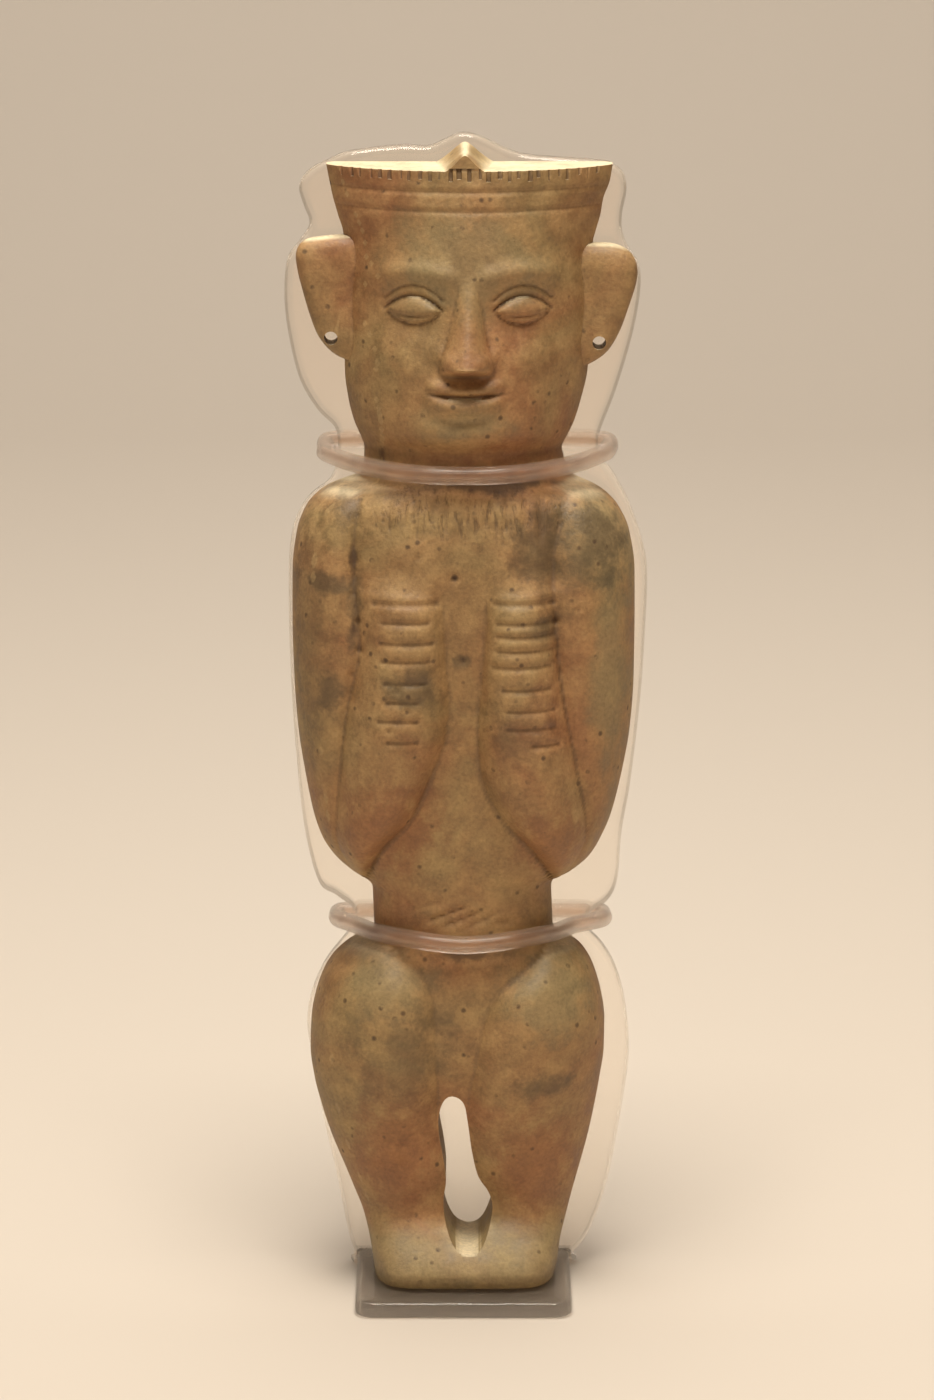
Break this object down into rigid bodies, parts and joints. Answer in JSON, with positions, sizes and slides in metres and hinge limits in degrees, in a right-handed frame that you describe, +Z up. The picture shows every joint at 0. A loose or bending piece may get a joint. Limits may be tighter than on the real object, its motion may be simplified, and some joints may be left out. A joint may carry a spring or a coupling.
{
  "type": "carved stone figure on a clear cradle",
  "caption": "Standing carved stone figure with folded arms and a flat top to its head, held upright by a clear cradle with tube ties.",
  "frame": {"origin": "centre of the cradle's underside", "axes": "+Z up, -Y the way the figure looks, +X towards the viewer's right"},
  "size_m": [0.0641, 0.0356, 0.2079],
  "materials": {
    "jade": "smooth worn stone with a faint polish, brown to olive, stained in the cuts",
    "clear_acrylic": "clear and polished",
    "clear_tubing": "clear soft tubing, slightly milky"
  },
  "bodies": {
    "root": {"jade_figure": "jade", "acrylic_cradle": "clear_acrylic", "neck_tie": "clear_tubing", "waist_tie": "clear_tubing"}
  },
  "joints": []
}
